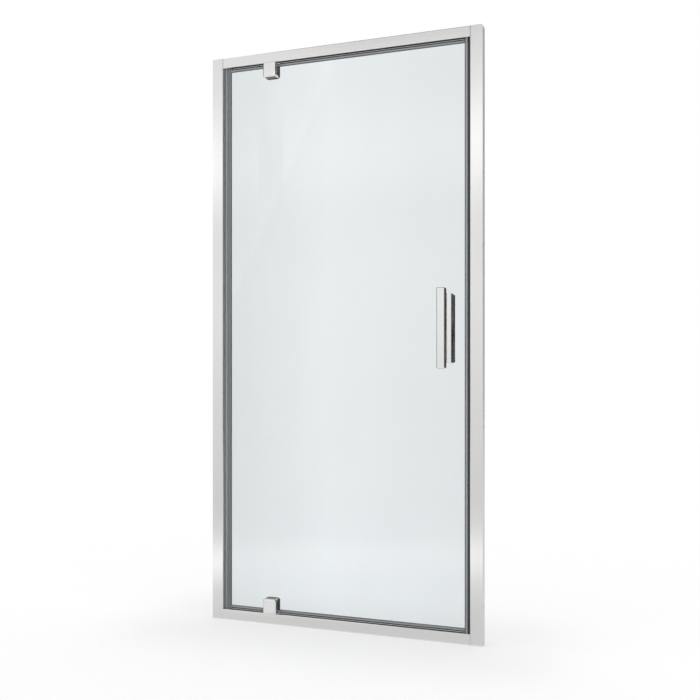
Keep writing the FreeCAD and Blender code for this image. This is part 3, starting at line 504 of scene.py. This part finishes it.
COVER_SIDE = 0.436
COVER_HEIGHTS = (0.150, 0.925, 1.700)
POST_BACK = 0.017
COVER_RADIUS = 0.006
COVER_RISE = 0.0036
COVER_SKIRT = 0.0012
DOME_POINTS = 9
ROUND_STEPS = 40
MERGE_GAP = 0.00001
SHARP_EDGE = math.radians(32)


def turned_shape(bm, profile, centre):
    """Spins a profile of (radius, reach) points about the line through the centre along +Y."""
    points = [bm.verts.new(centre + Vector((radius, reach, 0))) for radius, reach in profile]
    edges = [bm.edges.new(pair) for pair in zip(points, points[1:])]
    bmesh.ops.spin(bm, geom=points + edges, cent=centre, axis=(0, 1, 0), angle=math.tau,
                   steps=ROUND_STEPS, use_merge=True)
    bmesh.ops.remove_doubles(bm, verts=bm.verts, dist=MERGE_GAP)


def soften(bm):
    """Smooth faces, with hard edges where the surface turns sharply."""
    bmesh.ops.recalc_face_normals(bm, faces=bm.faces)
    for face in bm.faces:
        face.smooth = True
    for edge in bm.edges:
        edge.smooth = edge.calc_face_angle(0.0) < SHARP_EDGE


def build_covers():
    quarter = [math.pi / 2 * step / (DOME_POINTS - 1) for step in range(DOME_POINTS)]
    dome = [
        (COVER_RADIUS * math.cos(turn), COVER_SKIRT + (COVER_RISE - COVER_SKIRT) * math.sin(turn))
        for turn in quarter
    ]
    profile = [(0, 0), (COVER_RADIUS, 0)] + dome
    bm = bmesh.new()
    for side in (-COVER_SIDE, COVER_SIDE):
        for height in COVER_HEIGHTS:
            turned_shape(bm, profile, Vector((side, POST_BACK, height)))
    soften(bm)
    covers = mesh_object("domed_screw_covers", bm, grey_plastic)
    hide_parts("channel_screw_covers")
    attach(covers, "frame")


build_covers()


# ---------------------------------------------------------------- glass
# One pane of clear toughened float glass, 6 mm thick, with ground edges. Its cool tint is painted
# a little lighter at the foot and past a slanting line, and greyer at both sides. These changes are
# painted light and painted reflections of a room, not the glass's own colour.

GLASS_TINT = (0.87, 0.91, 0.925)
GLASS_HEIGHT = (0.04, 1.81)
# Painted light: shares that make the tint lighter at the foot.
PAINTED_HEIGHT_SHARES = ((0.04, 1.0), (0.30, 0.93), (1.81, 0.93))
GLASS_WIDTH = (-0.40, 0.40)
# Painted reflections: shares that make the tint greyer at both sides.
PAINTED_WIDTH_SHARES = ((-0.40, 0.88), (-0.05, 1.0), (0.40, 0.93))
# Painted reflection: the tint is lifted past a slanting line.
REFLECTION_EDGE_POINT = (-0.04, 1.74)
REFLECTION_EDGE_LEAN = (-0.90, 0.435)
REFLECTION_EDGE_WIDTH = 0.02
REFLECTION_LIFT = 1.025
GLASS_CLOUDS = (7, 7, 2.2)
CLOUD_SHARES = (0.99, 1.01)
GLASS_ROUGHNESS = (0.0, 0.012)
GLASS_IOR = 1.52


def graded(tree, axis, span, marks):
    """A ramp of shares, set by marks of (metres, share) along one axis of the piece."""
    place = shader(tree, "TexCoord")
    parts = shader(tree, "SeparateXYZ", {0: place.outputs["Object"]})
    start, end = span
    share = between(tree, parts.outputs[axis], 0.0, 1.0, span)
    ramp = shader(tree, "ValToRGB", {0: share})
    return stops(ramp, [((metres - start) / (end - start), tone) for metres, tone in marks])


def scaled(tree, colour, share):
    return shader(tree, "VectorMath", {0: colour, "Scale": share}, operation="SCALE").outputs[0]


def painted_reflection_edge(tree):
    """A painted reflection: a share that rises from one to the lift across a slanting line."""
    place = shader(tree, "TexCoord")
    lean = shader(tree, "CombineXYZ", {"X": REFLECTION_EDGE_LEAN[0], "Z": REFLECTION_EDGE_LEAN[1]})
    slope = shader(tree, "VectorMath", {0: place.outputs["Object"], 1: lean.outputs[0]},
                   operation="DOT_PRODUCT")
    start = REFLECTION_EDGE_LEAN[0] * REFLECTION_EDGE_POINT[0] + REFLECTION_EDGE_LEAN[1] * REFLECTION_EDGE_POINT[1]
    return between(tree, slope.outputs["Value"], 1.0, REFLECTION_LIFT, (start, start + REFLECTION_EDGE_WIDTH))


def clear_glass(tree):
    clouds = blotches(tree, GLASS_CLOUDS, detail=5.0)
    # The first three shares paint light and reflections into the tint; the clouds vary it at random.
    shares = (
        graded(tree, "Z", GLASS_HEIGHT, PAINTED_HEIGHT_SHARES).outputs[0],
        graded(tree, "X", GLASS_WIDTH, PAINTED_WIDTH_SHARES).outputs[0],
        painted_reflection_edge(tree),
        between(tree, clouds, *CLOUD_SHARES),
    )
    tint = GLASS_TINT
    for share in shares:
        tint = scaled(tree, tint, share)
    return {
        "Base Color": tint,
        "Roughness": between(tree, clouds, *GLASS_ROUGHNESS),
        "IOR": GLASS_IOR,
        "Transmission Weight": 1.0,
    }


dress(("glass_panel",), surface("clear_glass", clear_glass))

# Cycles shadows glass as if it were solid, and the real pane lets its light through to the floor.
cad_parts["glass_panel"].visible_shadow = False


# ---------------------------------------------------------------- edge seals
# Vinyl strips pressed over the glass edges. Each is painted in bands across its width: clear, half
# shade and deep shade. The darker bands are painted shade in the gaps by the posts and rails and
# where a strip meets the glass. Two strips hold dark flexible magnets.

VINYL = (0.84, 0.88, 0.91, 1)
VINYL_SHADE = (0.75, 0.79, 0.82, 1)
VINYL_ROUGHNESS = (0.20, 0.34)
VINYL_LINES = 420.0
VINYL_LINE_RUN = 3.0
VINYL_LINE_DEPTH = 0.00001
VINYL_IOR = 1.53
VINYL_CLEARNESS = 0.35
MAGNET = (0.055, 0.050, 0.047, 1)
MAGNET_SHADE = (0.035, 0.032, 0.031, 1)
MAGNET_ROUGHNESS = (0.55, 0.70)
# Shares of the vinyl's tone. The two below one are painted shade.
CLEAR = 1.0
PAINTED_HALF_SHADE = 0.5
PAINTED_DEEP_SHADE = 0.08
# Each vinyl: its strips, their run, the axis across them, its span, and where each band starts,
# clear or painted shade.
SEAL_VINYLS = {
    "hinge_side_vinyl": (
        ("hinge_side_seal",), "z", "X", (-0.412, -0.388),
        ((-0.412, CLEAR), (-0.4028, PAINTED_DEEP_SHADE), (-0.4008, PAINTED_HALF_SHADE)),
    ),
    "strike_side_vinyl": (
        ("strike_side_seal",), "z", "X", (0.392, 0.412),
        ((0.392, PAINTED_DEEP_SHADE), (0.3958, CLEAR), (0.4018, PAINTED_DEEP_SHADE)),
    ),
    "top_vinyl": (
        ("top_seal_short", "top_seal_long"), "x", "Z", (1.805, 1.819),
        ((1.805, PAINTED_HALF_SHADE), (1.8076, CLEAR), (1.8116, PAINTED_DEEP_SHADE)),
    ),
    "bottom_vinyl": (
        ("bottom_seal_short", "bottom_seal_long"), "x", "Z", (0.034, 0.048),
        ((0.034, PAINTED_DEEP_SHADE), (0.0404, CLEAR), (0.0448, PAINTED_HALF_SHADE)),
    ),
}


def soft_vinyl(name, run, axis, span, shade_bands):
    """Extruded vinyl with drawn lines along its run, and bands of painted shade across it."""
    def feeds(tree):
        lines = blotches(tree, stretched(run, VINYL_LINES, VINYL_LINE_RUN))
        shade_ramp = graded(tree, axis, span, shade_bands)
        shade_ramp.color_ramp.interpolation = "CONSTANT"
        return {
            "Base Color": scaled(tree, drifting(tree, lines, VINYL, VINYL_SHADE), shade_ramp.outputs[0]),
            "Roughness": between(tree, lines, *VINYL_ROUGHNESS),
            "IOR": VINYL_IOR,
            "Transmission Weight": VINYL_CLEARNESS,
            "Normal": relief(tree, lines, VINYL_LINE_DEPTH),
        }

    return surface(name, feeds)


for vinyl_name, (strips, *vinyl_plan) in SEAL_VINYLS.items():
    dress(strips, soft_vinyl(vinyl_name, *vinyl_plan))
magnet_rubber = moulded("magnet_rubber", MAGNET, MAGNET_SHADE, MAGNET_ROUGHNESS)
dress(("frame_magnet_strip", "door_magnet_strip"), magnet_rubber)


# ---------------------------------------------------------------- hinge clamps
# Polished and chromed metal blocks that clamp the glass over dark gaskets. The outer block is
# slightly crowned towards the viewer, and its boss holds the pivot pin.

CHROME = (0.87, 0.868, 0.862, 1)
CHROME_SHADE = (0.845, 0.843, 0.84, 1)
CHROME_ROUGHNESS = (0.03, 0.10)
CHROME_SMEARS = (38, 38, 21)
CHROME_DRIFT = (14, 14, 9)
RUBBER = (0.030, 0.030, 0.032, 1)
RUBBER_SHADE = (0.018, 0.018, 0.020, 1)
RUBBER_ROUGHNESS = (0.58, 0.74)
BLOCK_MIDDLES = {"top_hinge_block": 1.792, "bottom_hinge_block": 0.0605}
BLOCK_HALF = 0.023
BLOCK_BACK = -0.004
BLOCK_DEPTH = 0.023
BLOCK_CROWN = 0.0006
CROWN_CUTS = 6
BLOCK_MERGE_GAP = 0.000002
CUT_GAP = 0.000001


def polished_chrome(name):
    def feeds(tree):
        smears = blotches(tree, CHROME_SMEARS, detail=4.0)
        slow = blotches(tree, CHROME_DRIFT)
        return {
            "Base Color": drifting(tree, slow, CHROME, CHROME_SHADE),
            "Metallic": 1.0,
            "Roughness": between(tree, smears, *CHROME_ROUGHNESS),
        }

    return surface(name, feeds)


def crowned_block(name, middle):
    """A merged copy of a packed block whose front falls away a little towards its top and foot."""
    bm = bmesh.new()
    bm.from_mesh(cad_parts[name].data)
    bmesh.ops.remove_doubles(bm, verts=bm.verts, dist=BLOCK_MERGE_GAP)
    for step in range(-CROWN_CUTS, CROWN_CUTS + 1):
        place = (0, 0, middle + step * BLOCK_HALF / (CROWN_CUTS + 1))
        bmesh.ops.bisect_plane(bm, geom=bm.verts[:] + bm.edges[:] + bm.faces[:], dist=CUT_GAP,
                               plane_co=place, plane_no=(0, 0, 1))
    for vert in bm.verts:
        forward = max(0.0, (BLOCK_BACK - vert.co.y) / BLOCK_DEPTH)
        vert.co.y += BLOCK_CROWN * forward * ((vert.co.z - middle) / BLOCK_HALF) ** 2
    soften(bm)
    block = mesh_object("crowned_" + name, bm, chrome)
    block.modifiers.new("even_shading", "WEIGHTED_NORMAL").keep_sharp = True
    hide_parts(name)
    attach(block, "leaf")


chrome = polished_chrome("bright_chrome")
for block_name, block_middle in BLOCK_MIDDLES.items():
    crowned_block(block_name, block_middle)
dress(("top_hinge_plate", "bottom_hinge_plate"), chrome)
dark_rubber = moulded("dark_rubber", RUBBER, RUBBER_SHADE, RUBBER_ROUGHNESS)
dress(("top_hinge_gaskets", "bottom_hinge_gaskets"), dark_rubber)
dress(("top_hinge_screws", "bottom_hinge_screws"), steel)


# ---------------------------------------------------------------- handle
# A square bar pull in polished chrome: a long grip in front, set off the glass by a shorter bar,
# and a matching bar on the shower side. Two bolts go through all three, and clear pads keep the
# metal off the glass.

PAD_VINYL = (0.62, 0.66, 0.69, 1)
PAD_SHADE = (0.52, 0.56, 0.59, 1)
PAD_ROUGHNESS = (0.28, 0.42)
PAD_GRAIN_DEPTH = 0.000008

dress(("handle_grip", "handle_base", "handle_inner_pull", "handle_bolt_caps"), chrome)
clear_pad_vinyl = moulded("clear_pad_vinyl", PAD_VINYL, PAD_SHADE, PAD_ROUGHNESS, PAD_GRAIN_DEPTH)
dress(("handle_gaskets",), clear_pad_vinyl)
